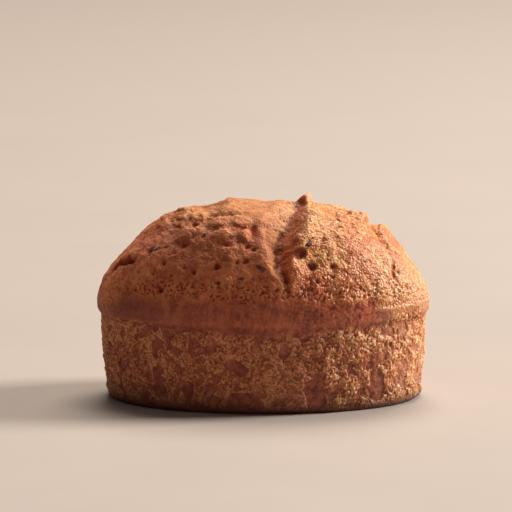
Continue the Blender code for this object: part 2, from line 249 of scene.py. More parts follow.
SPLITS = (
    # The burst, from the front lip up to the crest.
    Split(
        (
            (6.0, -23.5, 0.3, 0.5, 0.5),
            (5.4, -22.9, 1.8, 0.9, 0.7),
            (4.6, -22.2, 2.8, 1.8, 1.4),
            (3.7, -20.6, 3.5, 2.8, 3.0),
            (3.6, -17.8, 3.8, 3.6, 4.9),
            (4.2, -13.8, 3.5, 4.4, 6.0),
            (5.9, -9.5, 2.6, 5.6, 5.2),
            (7.4, -5.4, 1.4, 4.0, 3.0),
            (8.4, -1.6, 0.4, 1.2, 1.0),
        ),
        0.4,
        0.7,
        4.0,
        1.0,
        0.15,
    ),
    # Its other end, down the back.
    Split(
        (
            (4.6, 5.0, 0.3, 0.8, 0.8),
            (3.6, 10.0, 1.8, 2.6, 3.0),
            (1.8, 15.0, 2.4, 2.4, 3.2),
            (0.4, 19.0, 1.8, 1.4, 1.6),
            (-0.2, 22.0, 0.3, 0.6, 0.6),
        ),
        0.5,
        0.3,
        4.0,
        0.9,
        0.2,
    ),
    # The crack in front of the flap.
    Split(
        (
            (30.8, -13.6, 0.4, 0.4, 0.4),
            (30.0, -12.6, 1.1, 0.6, 0.6),
            (29.9, -10.8, 0.4, 0.7, 0.6),
            (28.8, -8.8, 0.5, 1.4, 1.0),
            (27.2, -7.4, 0.8, 1.8, 1.4),
            (25.4, -4.6, 1.2, 1.7, 2.1),
            (25.0, -1.5, 2.2, 1.4, 2.4),
            (25.2, 3.0, 2.2, 1.4, 2.4),
            (24.8, 8.0, 1.0, 1.2, 1.6),
            (23.6, 12.0, 0.3, 0.8, 0.8),
        ),
        0.3,
        0.4,
        3.0,
        0.7,
        1.0,
    ),
    # The slit at the left end, under a shelf of crust.
    Split(
        (
            (-35.6, -4.6, 0.3, 0.5, 0.4),
            (-34.4, -5.6, 0.9, 0.8, 0.5),
            (-33.2, -6.6, 1.3, 0.9, 0.6),
            (-31.6, -8.2, 1.7, 0.9, 0.7),
            (-30.2, -9.8, 1.8, 0.7, 0.7),
            (-29.8, -10.3, 0.6, 0.4, 0.4),
        ),
        0.6,
        0.0,
        3.5,
        0.0,
        0.0,
    ),
    # The fold over the rolls of the left lobe.
    Split(
        (
            (-15.6, -6.2, 0.1, 0.5, 0.5),
            (-13.7, -7.2, 0.2, 0.9, 0.6),
            (-11.4, -8.2, 0.15, 0.8, 0.7),
            (-8.3, -9.6, 0.25, 1.0, 0.7),
            (-5.5, -9.5, 0.2, 0.8, 0.7),
            (-2.8, -9.0, 0.1, 0.5, 0.5),
        ),
        0.4,
        0.0,
        3.0,
        0.0,
        0.0,
    ),
    # Two splits at the back, as the crust opens there too.
    Split(
        (
            (-24.0, 10.5, 0.3, 0.6, 0.6),
            (-20.0, 13.6, 1.1, 1.2, 1.0),
            (-15.0, 15.4, 1.3, 1.3, 1.1),
            (-10.0, 15.8, 0.8, 0.9, 0.8),
            (-6.6, 14.8, 0.2, 0.5, 0.5),
        ),
        0.1,
        0.5,
        3.0,
        0.5,
        0.2,
    ),
    Split(
        (
            (10.6, 15.6, 0.3, 0.6, 0.6),
            (14.6, 16.4, 1.1, 1.1, 0.9),
            (19.0, 15.4, 1.2, 1.2, 1.0),
            (23.4, 13.2, 0.4, 0.7, 0.6),
        ),
        0.4,
        0.1,
        3.0,
        0.2,
        0.5,
    ),
)

# Steam holes: many just over the lip, fewer up the dome.
STEAM_HOLES = 70
HOLE_RADIUS = (0.4, 0.65)
HOLE_DEPTH = 1.0  # in radii

# The unevenness of the crust, by the scale of its lumps and their height.
Noise = namedtuple("Noise", "scale height")
WAVES = (Noise(11.0, 0.4), Noise(4.4, 0.3))
DOME_CRUMB = Noise(2.2, 0.3)
WALL_CRUMB = Noise(1.8, 0.34)
WAVES_UNDER_LIP = 0.35  # how much of the waves the wall and the lip have
STREAKS = Noise(3.4, 0.45)
STREAK_LENGTH = 3.2
WANDER = Noise(2.6, 0.6)  # how the outlines of the forms stray
FRAY = Noise(1.1, 0.35)
# Finer than the solid: granules, the pores of the belt over the lip, and the threads of the wall's crumb.
WARP = Noise(1.3, 0.45)
GRANULES = Noise(0.7, 0.09)
NODULES = Noise(1.3, 0.06)
GRAINS = Noise(0.5, 0.08)
CRUMBS = Noise(1.1, 0.35)
CREST_CRUMBS_RIGHT = 0.4  # how much higher the crumbs of the crest stand at the right
ROLL_CRUMB_SHARE = 0.55  # and how high the crumbs of the rolls stand against them
PORES = (Noise(1.15, 0.22), Noise(0.8, 0.22))
PORE_WANDER = Noise(1.7, 0.5)
PORE_SHARE = 0.24  # of the cells of the belt
THREADS = (Noise(0.9, 0.2), Noise(0.55, 0.3))
THREAD_HEIGHT = 0.05
TATTERS = (Noise(4.2, 1.6), Noise(1.5, 0.9))
FLAKED = Noise(3.4, 1.0)
FLAKED_SHARE = 0.2  # the noise over which a flake of the wall's crumb came off
CLUMPS = Noise(4.6, 0.5)
CRUST_EDGE = LIP + 2.4  # where the granular crust ends in a smooth band along the lip
CRUST_DROP = 3.8  # how much lower it ends round the cake's ends
TORN_EDGE = RIM - 0.5  # where the torn crumb ends under the lip
TORN_RISE = 1.6  # how much higher it reaches at both ends
TORN_RISE_RIGHT = 1.0  # and at the right one besides
SKIN_DEPTH = 0.32  # how far the smooth patches of the wall lie under its torn crumb
LIP_RIDGE = 0.2
NUB_SHADE = Form(9.0, -1.2, 3.0, 3.4, 1.0)  # painted red shade over the nub beside the burst, centred on its shaded left side
GOLDEN_HEIGHT = 39  # where the crust turns golden at the left
GOLDEN_DROP = 9  # and how much lower at the right
DARK_DEPTH = 0.6  # of a hole that is painted dark with shade all through
RED_DEPTH = 0.55  # of a hollow that is painted red with shade all through
# how much painted shade darkens the pores
PORE_SHADE = 0.42

# Where a finish comes in: a place in X or in height, and the run from there to its full strength. A run
# under 0 goes to the left or downwards.
OFF_FLOOR = (-0.3, 2.0)
DOME_FOOT = (LIP, 4.0)
SPLITS_FOOT = (RIM, 3.0)
WALL_FOOT = (0.2, 1.5)
WALL_TOP = (RIM + 0.2, -1.2)
STREAKS_TOP = (RIM - 3, -8)
FOOT_TOP = (4, -3.5)
FOOT_END = (22, 14)
LOW_CRUST_RIGHT = (24, 8)
LOW_CRUST_LEFT = (-32, -5)
COARSE_RIGHT = (4, 8)
COARSE_LEFT = (-29, -5)
CREST_CRUMBS = (38, 3)
CREST_CRUMBS_AWAY = (12, 4)  # from the middle of the burst
ROLL_CRUMBS = (32, 4)
ROLL_CRUMBS_LEFT = (-1, -4)
BELT_FOOT = (LIP + 3.0, 1.0)
BELT_TOP = (LIP + 9.5, -4.5)
BELT_FEWER = (8, 14)
BELT_LEFT = (-33, 6)
TORN_ENDS = (20, 12)
TORN_RIGHT = (26, 6)
LIP_RIDGE_RIGHT = (20, 8)
GOLDEN_LOWER = (1, 9)
GOLDEN_RIGHT = (8, 24)
SLIT_LEFT = (-27, -2)
PALE_TOP = (41, 3)
PALE_LEFT = (16, -4)
BROWNED_UP = (32, 6)
BROWNED_LEFT = (5, -6)
BROWNED_END = (-27, 8)

# Smooth patches of skin on the wall: X, height of its middle, half width, half height.
Patch = namedtuple("Patch", "x up half_width half_height")
FRONT_PATCHES = (
    Patch(12.0, 4.8, 2.8, 5.4),
    Patch(26.2, 5.4, 2.8, 4.6),
    Patch(28.4, 18.8, 2.2, 1.6),
    Patch(35.8, 10.5, 0.7, 2.6),
    Patch(20.4, 10.6, 0.8, 2.4),
    Patch(28.6, 15.2, 0.9, 1.6),
    Patch(-6.2, 10.8, 3.6, 2.4),
    Patch(-5.4, 3.0, 3.2, 2.2),
    Patch(-24.6, 16.4, 1.7, 4.2),
    Patch(-24.2, 8.0, 1.5, 4.0),
    Patch(-33.2, 8.8, 1.1, 1.8),
    Patch(-35.6, 13.6, 1.3, 1.2),
    Patch(-33.0, 3.6, 1.4, 2.2),
    Patch(-17.6, 4.0, 1.6, 3.6),
    Patch(5.0, 14.4, 1.4, 1.8),
)
BACK_PATCHES = 16


def on_dome(x, y):
    """The point of the smooth dome over (x, y)."""
    point = np.array(((x, y, dome_height(x, y)),))
    point[:, 2] += crest_heights(point)
    return point[0]


def smooth_step(t):
    """Softly from 0 at 0 to 1 at 1."""
    t = np.clip(t, 0, 1)
    return t * t * (3 - 2 * t)


def rising(values, start, run):
    """Softly from 0 at the start to 1 a run further on."""
    return smooth_step((values - start) / run)


def mound(t):
    """1 at 0, falling softly to 0 at 1 and beyond."""
    return np.clip(1 - t * t, 0, None) ** 2


def crest_heights(points):
    """The crest's departure from an ellipse, fading from the crest to the lip on either side."""
    x, height = np.array(CREST).T
    half = np.sqrt(np.clip(1 - (2 * points[:, 0] / LENGTH) ** 2, 1e-4, None)) * DEPTH / 2
    fade = np.clip(1 - (points[:, 1] / half) ** 2, 0, 1)
    return np.interp(points[:, 0], x, height) * fade


def steep(t):
    """Close to 1 up to 0.5, then falling to 0 at 1 more and more steeply."""
    return np.clip(1 - t**3, 0, None) ** 0.7


def form_heights(points, forms, side=mound):
    """The summed heights of some forms at each point, with soft sides or steep ones."""
    heights = np.zeros(len(points))
    for form in forms:
        away = points - on_dome(form.x, form.y)
        reach = np.sqrt((away[:, 0] / form.along) ** 2 + (away[:, 1] ** 2 + away[:, 2] ** 2) / form.across**2)
        heights += form.height * side(reach)
    return heights


def split_heights(points, split):
    """How far one split lowers and lifts the crust, and how much it bares to its left and right."""
    stations = np.array([on_dome(x, y) for x, y, *_ in split.route])
    sizes = np.array([station[2:] for station in split.route])
    nearest = np.full(len(points), np.inf)
    depth, reach = np.zeros(len(points)), np.ones(len(points))
    left = np.zeros(len(points), bool)
    for start, end, size, next_size in zip(stations, stations[1:], sizes, sizes[1:]):
        along = end - start
        t = np.clip((points - start) @ along / (along @ along), 0, 1)
        away = points - (start + t[:, None] * along)
        distance = np.linalg.norm(away, axis=1)
        closer = distance < nearest
        side = along[0] * away[:, 1] - along[1] * away[:, 0] > 0
        here = size + t[:, None] * (next_size - size)
        nearest = np.where(closer, distance, nearest)
        left = np.where(closer, side, left)
        depth = np.where(closer, here[:, 0], depth)
        reach = np.where(closer, np.where(side, here[:, 1], here[:, 2]), reach)
    t = nearest / reach
    shoulder = np.where(left, 1.5, 1.0)
    groove = -depth * np.clip(1 - t, 0, 1) ** shoulder
    lift = np.where(left, split.lift_left, split.lift_right)
    strength = np.clip(depth / max(sizes[:, 0]), 0, 1)
    fade = mound(np.clip((nearest - reach) / split.run, 0, 1))
    bare = smooth_step((1 - t) / 0.25) * smooth_step(depth / 0.9)
    return groove + lift * strength * np.clip(t, 0, 1) * fade, bare * left, bare * ~left


def steam_holes():
    """Seeded places for the steam holes, most of them close above the lip."""
    draw = random.Random(SEED)
    holes = ()
    for _ in range(STEAM_HOLES):
        turn = draw.uniform(0, 2 * math.pi)
        out = 1 - 0.45 * draw.random() ** 2.2
        x = out * math.cos(turn) * (LENGTH / 2 - 0.8)
        y = out * math.sin(turn) * (DEPTH / 2 - 0.8)
        radius = draw.uniform(*HOLE_RADIUS)
        holes += (Form(x, y, radius, radius, radius * HOLE_DEPTH),)
    return holes


def lumps(points, kind):
    """Smooth noise about zero, with lumps of this scale and height."""
    shift = Vector((SEED, 2.7 * kind.scale, 5.1 * kind.height))
    return kind.height * np.array([noise.noise(Vector(point) / kind.scale + shift) for point in points])


def wandered(points, kind):
    """The points shifted about by smooth noise, so that what is measured from them gets ragged edges."""
    shift = Vector((SEED, 2.7 * kind.scale, 5.1 * kind.height))
    away = [noise.noise_vector(Vector(point) / kind.scale + shift) for point in points]
    return points + kind.height * np.array(away)


def granules(points, kind):
    """Packed grains: high in the middle of each, low where they meet."""
    shift = Vector((SEED, 1.3 * kind.scale, 0))
    away = np.array([noise.voronoi(Vector(point) / kind.scale + shift)[0][0] for point in points])
    return kind.height * (0.5 - (away / 0.55) ** 2)


def round_pores(points, kind, share):
    """1 in the middle of a share of scattered cells, falling to 0 round it."""
    shift = Vector((SEED, 1.3 * kind.scale, 0))
    near = [noise.voronoi(Vector(point) / kind.scale + shift) for point in points]
    away = np.array([distances[0] for distances, _ in near])
    chance = np.array([noise.cell(places[0] * 31.7) for _, places in near])
    return smooth_step((0.48 - away - 0.16 * chance) / 0.3) * (chance < share)


def threads(points, kinds):
    """Thin winding ridges of several sizes over rounded hollows, from about 0 to 1."""
    ridges = [kind.height * (1 - 3 * np.abs(lumps(points, Noise(kind.scale, 1.0)))) for kind in kinds]
    return sum(ridges) / sum(kind.height for kind in kinds)


def wall_patches(points):
    """How much of the wall's smooth skin is left at each point."""
    draw = random.Random(SEED + 1)
    patches = [(patch, -1) for patch in FRONT_PATCHES]
    for _ in range(BACK_PATCHES):
        x = LENGTH / 2 * math.sin(draw.uniform(-1.4, 1.4))
        tall = draw.uniform(1.5, 4.5)
        patches.append((Patch(x, draw.uniform(2.0, 14.0), draw.uniform(0.9, 2.6), tall), 1))
    skin = np.zeros(len(points))
    for patch, side in patches:
        y = side * (DEPTH / 2 - OVERHANG) * math.sqrt(max(0.0, 1 - (2 * patch.x / (LENGTH - 2)) ** 2))
        across = np.hypot(points[:, 0] - patch.x, points[:, 1] - y) / patch.half_width
        up = (points[:, 2] - patch.up) / patch.half_height
        skin = np.maximum(skin, smooth_step((1.06 - np.hypot(across, up)) / 0.22))
    return skin


def read(group, name, width, kind):
    """One property of all the points, edges or corners of a mesh, as rows of this width."""
    values = np.empty(len(group) * width, kind)
    group.foreach_get(name, values)
    return values.reshape(-1, width)


def summed(numbers, rows, count):
    """The rows added up by number, one sum for each number."""
    return np.stack([np.bincount(numbers, column, count) for column in rows.T], axis=1)


def outward(places, corners):
    """The skin's normals with its points at these places."""
    a, b, c, d = (places[corner] for corner in corners.T)
    across = np.cross(c - a, d - b)
    normals = sum(summed(corner, across, len(places)) for corner in corners.T)
    return normals / np.linalg.norm(normals, axis=1)[:, None]


def evened(places, ends, rounds):
    """The places after each has moved to the middle of its neighbours a number of times."""
    numbers, others = np.concatenate((ends, ends[:, ::-1])).T
    count = np.bincount(numbers)[:, None]
    for _ in range(rounds):
        places = summed(numbers, places[others], len(places)) / count
    return places


def skin_of(piece):
    """The points of a skin in millimetres, the corners of its quads and the ends of its edges."""
    points = read(piece.data.vertices, "co", 3, np.float32).astype(float) / MM
    corners = read(piece.data.loops, "vertex_index", 1, np.int32).reshape(-1, 4)
    return points, corners, read(piece.data.edges, "vertices", 2, np.int32)


def carried_over(fields, points, new_points):
    """The fields of one skin, read at the points of another that lies on it."""
    tree = KDTree(len(points))
    for number, point in enumerate(points):
        tree.insert(point, number)
    tree.balance()
    found = [tree.find_n(point, 3) for point in new_points]
    numbers = np.array([[near[1] for near in three] for three in found])
    weights = 1 / (np.array([[near[2] for near in three] for three in found]) + 0.02)
    weights /= weights.sum(axis=1)[:, None]
    return [np.sum(field[numbers] * weights, axis=1) for field in fields]


noise.seed_set(SEED)
cake = piece_from(spun_oval(loaf_section()), "cake")
even_skin(cake, FORM_SKIN)
points, corners, ends = skin_of(cake)
normals = outward(points, corners)
x, height = points[:, 0], points[:, 2].copy()
over_lip = rising(height, *DOME_FOOT)
wall = rising(height, *WALL_FOOT) * rising(height, *WALL_TOP)

# The forms of the solid.
points[:, 2] += over_lip * crest_heights(points)
ragged = wandered(wandered(points, WANDER), FRAY)
rise = over_lip * (form_heights(ragged, SWELLINGS) + form_heights(ragged, ROLLS, steep))
bare = np.zeros(len(points))
pale = np.zeros(len(points))
over_rim = rising(height, *SPLITS_FOOT)
for split in SPLITS:
    opened, bared_left, bared_right = split_heights(ragged, split)
    rise += over_rim * opened
    bare = np.maximum(bare, over_rim * (bared_left + bared_right))
    pale = np.maximum(pale, over_rim * (split.pale_left * bared_left + split.pale_right * bared_right))
hollows = over_lip * form_heights(ragged, HOLLOWS)
holes = over_lip * form_heights(ragged, BUBBLES + steam_holes(), steep)
rise -= hollows + holes
rise += (WAVES_UNDER_LIP + (1 - WAVES_UNDER_LIP) * over_lip) * sum(lumps(points, wave) for wave in WAVES)
rise += over_lip * lumps(points, DOME_CRUMB) + wall * lumps(points, WALL_CRUMB)
rise += wall * rising(height, *STREAKS_TOP) * lumps(points / (1, 1, STREAK_LENGTH), STREAKS)
rise += FOOT * rising(height, *FOOT_TOP) * rising(x, *FOOT_END)
points += normals * (rise * rising(height, *OFF_FLOOR))[:, None]
cake.data.vertices.foreach_set("co", points.ravel() * MM)

# The fine crust is worked in a new skin, even on steep sides too.
formed, fields = points, (height, bare, pale, hollows, holes)
even_skin(cake, SKIN)
points, corners, ends = skin_of(cake)
height, bare, pale, hollows, holes = carried_over(fields, formed, points)
points = evened(points, ends, SMOOTHINGS)
normals = outward(points, corners)
off_floor = rising(height, *OFF_FLOOR)
x = points[:, 0]

# The granular crust of the dome is coarser at the right and at the left tip, and crumbly along the crest
# and on the rolls. What the burst bared last is the coarsest.
warped = wandered(points, WARP)
clump = lumps(points, CLUMPS)
granule = granules(warped, GRANULES)
crust_edge = CRUST_EDGE - CRUST_DROP * np.maximum(rising(x, *LOW_CRUST_RIGHT), rising(x, *LOW_CRUST_LEFT))
crusty = rising(height + 2 * clump + warped[:, 2] - points[:, 2] - crust_edge, -0.5, 3.0)
rough = (1 - 0.4 * bare + 1.2 * pale) * (0.5 + 0.5 * rising(x, *COARSE_RIGHT))
rough += 0.7 * rising(x, *COARSE_LEFT)
fine = (0.8 + 0.2 * crusty) * rough * (granule + lumps(warped, NODULES))
on_crest = rising(height, *CREST_CRUMBS) * rising(np.abs(x - 1), *CREST_CRUMBS_AWAY)
on_crest *= 1 + CREST_CRUMBS_RIGHT * (x > 0)
on_rolls = ROLL_CRUMB_SHARE * rising(height, *ROLL_CRUMBS) * rising(x, *ROLL_CRUMBS_LEFT)
fine += np.maximum(on_crest, on_rolls) * lumps(warped, CRUMBS)

# A belt of pores over the lip, with fewer of them at the right.
belt = rising(height, *BELT_FOOT) * rising(height, *BELT_TOP)
belt *= (1 - 0.55 * rising(x, *BELT_FEWER)) * rising(x, *BELT_LEFT)
in_belt = np.flatnonzero(crusty * belt > 0.05)
pores = np.zeros(len(points))
frayed = wandered(points[in_belt], PORE_WANDER)
for kind in PORES:
    pores[in_belt] = np.maximum(pores[in_belt], round_pores(frayed, kind, PORE_SHARE))
pores *= rising(belt, 0, 0.5)
pores *= crusty**2
fine -= PORES[0].height * pores

# The torn crumb of the wall, and the smooth skin that lies a little deeper between it.
tattered = wandered(wandered(points, TATTERS[0]), TATTERS[1])
skin = wall_patches(tattered)
skin = np.maximum(skin, 0.6 * rising(lumps(tattered, FLAKED), FLAKED_SHARE, 0.08))
rim = np.clip(4 * skin * (1 - skin), 0, 1) * (skin < 0.58)
torn_edge = TORN_EDGE + TORN_RISE * rising(np.abs(x), *TORN_ENDS) + TORN_RISE_RIGHT * rising(x, *TORN_RIGHT)
torn = rising(torn_edge - tattered[:, 2], 0, 1) * off_floor
furry = torn * (1 - skin)
thread = np.clip(threads(warped, THREADS), -0.6, 1)
crumb_relief = THREAD_HEIGHT * (1 + clump) * (thread - 0.4) + 0.5 * granule + granules(warped, GRAINS)
patch_relief = 0.3 - skin + 0.12 * rim
fine += furry * crumb_relief + torn * SKIN_DEPTH * patch_relief

# A fine ridge runs along the right end of the lip.
fine += LIP_RIDGE * rising(np.abs(height - LIP - 1.0), 0.7, -0.5) * rising(x, *LIP_RIDGE_RIGHT)
points += normals * (fine * off_floor)[:, None]
cake.data.vertices.foreach_set("co", points.ravel() * MM)
sunk_little, sunk_much = (
    np.sum((evened(points, ends, rounds) - points) * normals, axis=1) for rounds in EVENINGS
)

# The crust is more golden on top and at the right end, and browner low down, at the left and on the rolls.
# This is partly its own uneven baking, and partly painted light on the lit top and right and painted shade on
# the rest.
turning = GOLDEN_HEIGHT - GOLDEN_DROP * rising(x, *GOLDEN_LOWER) + 3 * clump
golden = crusty * rising(height, turning, 6) * (0.8 + 0.2 * rising(x, *GOLDEN_LOWER))
golden = np.maximum(golden, rising(x, *GOLDEN_RIGHT))
browned = rising(height, *BROWNED_UP) * rising(x, *BROWNED_LEFT) * rising(x, *BROWNED_END)
shaded_split = bare * (1 - pale)
slit = shaded_split * rising(x, *SLIT_LEFT)
nub = form_heights(points, (NUB_SHADE,))

# The pit and hollow masks carry painted shade, and the thread mask a painted highlight on the rims of the
# wall's patches.
for name, values in {
    "crusty": crusty,
    "golden": golden,
    "browned": browned,
    "pale": pale * (1 - 0.7 * rising(height, *PALE_TOP) * rising(x, *PALE_LEFT)),
    "pit": np.clip(PORE_SHADE * pores + holes / DARK_DEPTH + slit, 0, 1),
    "hollow": np.clip(hollows / RED_DEPTH + 0.9 * shaded_split + nub, 0, 1),
    "furry": furry,
    "thread": thread + 0.15 * rim,
    "sunk_little": sunk_little,
    "sunk_much": sunk_much,
}.items():
    cake.data.attributes.new(name, "FLOAT", "POINT").data.foreach_set("value", values.astype(np.float32))

# The cake is cut off flat at its base, centred and thinned.
shape = bmesh.new()
shape.from_mesh(cake.data)
everything = shape.verts[:] + shape.edges[:] + shape.faces[:]
bmesh.ops.bisect_plane(shape, geom=everything, plane_co=(0, 0, 0), plane_no=(0, 0, 1), clear_inner=True)
bmesh.ops.holes_fill(shape, edges=[edge for edge in shape.edges if edge.is_boundary])
bmesh.ops.recalc_face_normals(shape, faces=shape.faces)
places = np.array([vertex.co for vertex in shape.verts])
middle = (places.min(axis=0) + places.max(axis=0)) / 2
bmesh.ops.translate(shape, verts=shape.verts, vec=(-middle[0], -middle[1], 0))
shape.to_mesh(cake.data)
shape.free()
cake.data.shade_smooth()
fewer = cake.modifiers.new("fewer", "DECIMATE")
fewer.ratio = MOST_TRIANGLES / sum(len(face.vertices) - 2 for face in cake.data.polygons)
bpy.context.view_layer.update()
thinned = bpy.data.meshes.new_from_object(cake.evaluated_get(bpy.context.evaluated_depsgraph_get()))
cake.modifiers.clear()
cake.data = thinned


def add_node(tree, kind, inputs=(), **settings):
    """A node with its settings, and its inputs given as values or as sockets to link."""
    node = tree.nodes.new(kind)
    for name, value in settings.items():
        setattr(node, name, value)
    for key, value in dict(inputs).items():
        if isinstance(value, bpy.types.NodeSocket):
            tree.links.new(value, node.inputs[key])
        else:
            node.inputs[key].default_value = value
    return node


def blend_colours(tree, share, first, second):
    """The first colour, with a share of the second over it."""
    node = add_node(tree, "ShaderNodeMix", data_type="RGBA")
    for key, value in (("Factor", share), ("A", first), ("B", second)):
        socket = [one for one in node.inputs if one.name == key and one.enabled][0]
        if isinstance(value, bpy.types.NodeSocket):
            tree.links.new(value, socket)
        else:
            socket.default_value = value
    return [one for one in node.outputs if one.enabled][0]


def arithmetic(tree, operation, first, second=0.0, third=0.0):
    """The result of one sum on values or sockets."""
    inputs = {0: first, 1: second, 2: third}
    return add_node(tree, "ShaderNodeMath", inputs, operation=operation).outputs[0]


def stretched(tree, value, low, high, to_low=0.0, to_high=1.0):
    """A value's range from low to high, spread over another range and held there."""
    inputs = {"Value": value, "From Min": low, "From Max": high, "To Min": to_low, "To Max": to_high}
    return add_node(tree, "ShaderNodeMapRange", inputs).outputs[0]


def speckle(tree, place, size, detail=2.0, roughness=0.5):
    """Noise with lumps of this size in millimetres."""
    inputs = {"Vector": place, "Scale": 1 / (size * MM), "Detail": detail, "Roughness": roughness}
    return add_node(tree, "ShaderNodeTexNoise", inputs).outputs[0]


def position(tree, place, axis):
    """How far a spot lies along one axis of the piece."""
    return add_node(tree, "ShaderNodeSeparateXYZ", {"Vector": place}).outputs[axis]


# Each finish has a deep, a middling and a light colour.
BROWN = ((0.33, 0.060, 0.023, 1), (0.52, 0.136, 0.051, 1), (0.63, 0.210, 0.073, 1))
GOLDEN = ((0.43, 0.088, 0.014, 1), (0.54, 0.205, 0.054, 1), (0.71, 0.365, 0.138, 1))
CRUMB = ((0.28, 0.062, 0.030, 1), (0.50, 0.160, 0.068, 1), (0.68, 0.312, 0.150, 1))
GOLDEN_CRUMB = ((0.39, 0.104, 0.033, 1), (0.62, 0.258, 0.093, 1), (0.83, 0.485, 0.235, 1))
LIP_SMOOTH = ((0.22, 0.042, 0.026, 1), (0.37, 0.086, 0.045, 1), (0.52, 0.148, 0.068, 1))
BURST_CRUMB = ((0.22, 0.050, 0.012, 1), (0.29, 0.092, 0.023, 1), (0.36, 0.135, 0.036, 1))
CRACK_CRUMB = ((0.48, 0.110, 0.022, 1), (0.66, 0.230, 0.055, 1), (0.80, 0.380, 0.120, 1))
LIT_END_CREAM = (0.72, 0.42, 0.23, 1)  # painted light that tints the right end, where the key lamp falls
ROLL_BROWN = (0.30, 0.078, 0.012, 1)
# painted shade for the lip's left end and painted light for its right end
LIP_SHADE_MAROON = (0.17, 0.036, 0.026, 1)
LIP_PAINTED_LIGHT = (0.55, 0.290, 0.165, 1)
# painted shade: red in the hollows, dark in the pits
HOLLOW_SHADE_RED = (0.35, 0.056, 0.013, 1)
PIT_SHADE_DARK = (0.23, 0.024, 0.008, 1)
# the foot's own browning together with painted shade
FOOT_BROWN_AND_SHADE = (0.10, 0.025, 0.012, 1)


def baked(tree, value, colours):
    """A colour between a deep, a middling and a light one."""
    node = add_node(tree, "ShaderNodeValToRGB", {"Fac": value})
    elements = node.color_ramp.elements
    elements.new(0.5)
    for element, share, colour in zip(elements, (0.1, 0.5, 0.9), colours):
        element.position, element.color = share, colour
    return node.outputs["Color"]


crust = bpy.data.materials.new("baked_crust")
crust.use_nodes = True
tree = crust.node_tree
surface = tree.nodes["Principled BSDF"]
place = add_node(tree, "ShaderNodeTexCoord").outputs["Object"]
field = {
    name: add_node(tree, "ShaderNodeAttribute", attribute_name=name).outputs["Fac"]
    for name in (
        "crusty",
        "golden",
        "browned",
        "pale",
        "pit",
        "hollow",
        "furry",
        "thread",
        "sunk_little",
        "sunk_much",
    )
}
side = position(tree, place, "X")
up = position(tree, place, "Z")
cloud = speckle(tree, place, 8.0, 3.0)
mottle = speckle(tree, place, 2.0, 3.0, 0.6)
fine = speckle(tree, place, 0.5, 3.0, 0.65)
grit = add_node(tree, "ShaderNodeTexVoronoi", {"Vector": place, "Scale": 1 / (0.52 * MM)}).outputs["Distance"]

# How light a spot is coloured: painted light where it stands up, painted shade where it lies low, and uneven
# in tone all over, most of all at the right.
uneven = arithmetic(tree, "MULTIPLY_ADD", field["sunk_little"], -3.0, 0.5)
uneven = arithmetic(tree, "MULTIPLY_ADD", field["sunk_much"], -0.5, uneven)
mottled = stretched(tree, side, 12 * MM, 24 * MM, 1.0, 2.0)
for speckles, share in ((cloud, 1.0), (mottle, mottled), (fine, 0.5)):
    uneven = arithmetic(tree, "MULTIPLY_ADD", arithmetic(tree, "SUBTRACT", speckles, 0.5), share, uneven)
uneven = arithmetic(tree, "SUBTRACT", uneven, stretched(tree, side, 12 * MM, 24 * MM, 0.0, 0.1))

# The crust of the dome: golden and brown, partly as painted light and shade; a cream tint of painted light at
# the right end, where the key lamp falls; browner on the rolls.
dome = blend_colours(tree, field["golden"], baked(tree, uneven, BROWN), baked(tree, uneven, GOLDEN))
dome = blend_colours(tree, stretched(tree, side, 25 * MM, 37 * MM, 0.0, 0.45), dome, LIT_END_CREAM)
dome = blend_colours(tree, arithmetic(tree, "MULTIPLY", field["browned"], 0.5), dome, ROLL_BROWN)

# The smooth lip, smeared upwards by the mould, with painted shade in maroon at the left end, away from the
# key lamp, and painted light at the right end, where it falls.
stretch = {0: place, 1: (1, 1, 0.35)}
drawn_up = add_node(tree, "ShaderNodeVectorMath", stretch, operation="MULTIPLY").outputs[0]
smear = arithmetic(tree, "SUBTRACT", speckle(tree, drawn_up, 1.2, 3.0, 0.6), 0.5)
lip = baked(tree, arithmetic(tree, "MULTIPLY_ADD", smear, 1.3, uneven), LIP_SMOOTH)
lip = blend_colours(tree, stretched(tree, side, -12 * MM, -32 * MM, 0.0, 0.5), lip, LIP_SHADE_MAROON)
lip = blend_colours(tree, stretched(tree, side, 24 * MM, 36 * MM, 0.0, 0.6), lip, LIP_PAINTED_LIGHT)
colour = blend_colours(tree, field["crusty"], lip, dome)

# The crumb of the wall: light threads over gaps deepened by painted shade, a painted highlight along the rims
# of its smooth patches, and a golden crumb at the right end that is painted light where the key lamp falls.
lit = arithmetic(tree, "MULTIPLY_ADD", field["thread"], 0.1, arithmetic(tree, "SUBTRACT", uneven, 0.5))
lit = arithmetic(tree, "SUBTRACT", lit, 0.4)
lit = arithmetic(tree, "MULTIPLY_ADD", speckle(tree, place, 0.4, 2.0, 0.6), 1.6, lit)
crumb = blend_colours(tree, field["golden"], baked(tree, lit, CRUMB), baked(tree, lit, GOLDEN_CRUMB))
colour = blend_colours(tree, field["furry"], colour, crumb)

# The crumb that the splits bare: brown in the burst, yellow in the crack at the right.
yellow = stretched(tree, side, 14 * MM, 24 * MM)
inner = blend_colours(tree, yellow, baked(tree, uneven, BURST_CRUMB), baked(tree, uneven, CRACK_CRUMB))
colour = blend_colours(tree, field["pale"], colour, inner)

# Painted shade: red in the hollows, on the shaded sides that the splits bare and on the nub, and dark in the
# pits, the holes, the slit and the deepest places, except on the right lobe.
colour = blend_colours(tree, arithmetic(tree, "MULTIPLY", field["hollow"], 0.92), colour, HOLLOW_SHADE_RED)
colour = blend_colours(tree, arithmetic(tree, "MULTIPLY", field["pit"], 0.75), colour, PIT_SHADE_DARK)
deep = stretched(tree, field["sunk_much"], 0.12, 0.5, 0.0, 0.8)
deep = arithmetic(tree, "MULTIPLY", deep, stretched(tree, side, 18 * MM, 14 * MM))
colour = blend_colours(tree, deep, colour, PIT_SHADE_DARK)

